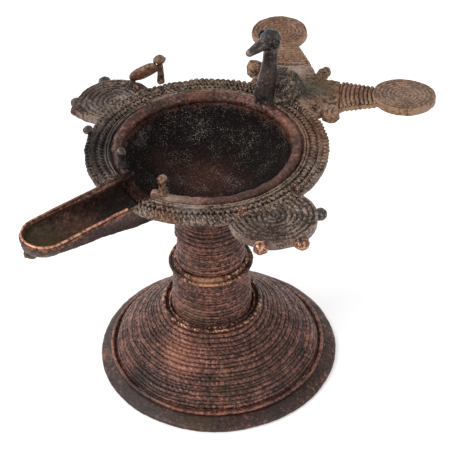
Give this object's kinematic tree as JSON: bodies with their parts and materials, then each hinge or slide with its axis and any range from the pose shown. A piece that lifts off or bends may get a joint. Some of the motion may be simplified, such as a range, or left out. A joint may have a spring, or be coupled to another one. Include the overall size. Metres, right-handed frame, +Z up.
{
  "type": "diya oil lamp",
  "caption": "Footed cast brass oil lamp with a round oil pan, an open wick spout, a bird at the back and a forked tail with coiled discs.",
  "frame": {"origin": "middle of the lamp's outline in plan, on the surface that the foot rests on", "axes": "+Z up along the stem, -Y along the spout, +Y towards the bird and the forked tail, +X to the right seen from the spout's back"},
  "size_m": [0.1483, 0.1985, 0.1512],
  "materials": {
    "foot_patina": "cast brass, dark red-brown patina, worn to copper on the ridges",
    "stem_patina": "cast brass, red-brown patina on thread rows",
    "worn_copper": "cast brass, rubbed bright on the high edges",
    "lamp_soot": "cast brass under burnt oil and soot",
    "rim_grey": "cast brass with grey dust in the thread rows",
    "spout_olive": "cast brass, olive-brown oily patina",
    "tail_bronze": "cast brass, orange-brown patina with green spots",
    "bird_black": "cast brass, near-black patina"
  },
  "bodies": {
    "root": {"bird_beak": "bird_black", "bird_body": "bird_black", "bird_eye_left": "worn_copper", "bird_eye_right": "worn_copper", "bird_head": "bird_black", "bird_neck": "bird_black", "foot_collar": "foot_patina", "foot_cone": "foot_patina", "foot_edge_thread": "worn_copper", "foot_flange": "foot_patina", "left_disc": "rim_grey", "left_disc_coil": "rim_grey", "left_disc_knob_1": "worn_copper", "left_disc_knob_2": "worn_copper", "left_disc_knob_3": "worn_copper", "pan_bowl": "lamp_soot", "pan_lip": "lamp_soot", "pan_rim_plate": "rim_grey", "right_disc": "rim_grey", "right_disc_coil": "rim_grey", "right_disc_knob_1": "worn_copper", "right_disc_knob_2": "worn_copper", "right_disc_knob_3": "worn_copper", "rim_beads": "rim_grey", "rim_bird_body": "tail_bronze", "rim_bird_head": "tail_bronze", "rim_bird_leg": "tail_bronze", "rim_bird_neck": "tail_bronze", "rim_hatch_inner": "rim_grey", "rim_hatch_outer": "rim_grey", "rim_knob_1": "worn_copper", "rim_knob_2": "worn_copper", "rim_knob_3": "worn_copper", "rim_knob_4": "worn_copper", "rim_threads": "rim_grey", "spout_lip_thread": "worn_copper", "spout_post_left": "bird_black", "spout_post_right": "bird_black", "spout_tip_knob": "worn_copper", "spout_trough": "spout_olive", "stem_lower": "stem_patina", "stem_neck_threads": "stem_patina", "stem_ring": "worn_copper", "stem_upper": "stem_patina", "tail_arm_left": "tail_bronze", "tail_arm_right": "tail_bronze", "tail_disc_left": "tail_bronze", "tail_disc_left_coil": "tail_bronze", "tail_disc_right": "tail_bronze", "tail_disc_right_coil": "tail_bronze", "tail_fork_knob": "tail_bronze", "tail_lobe_left": "tail_bronze", "tail_lobe_right": "tail_bronze", "tail_plate": "tail_bronze"}
  },
  "joints": []
}
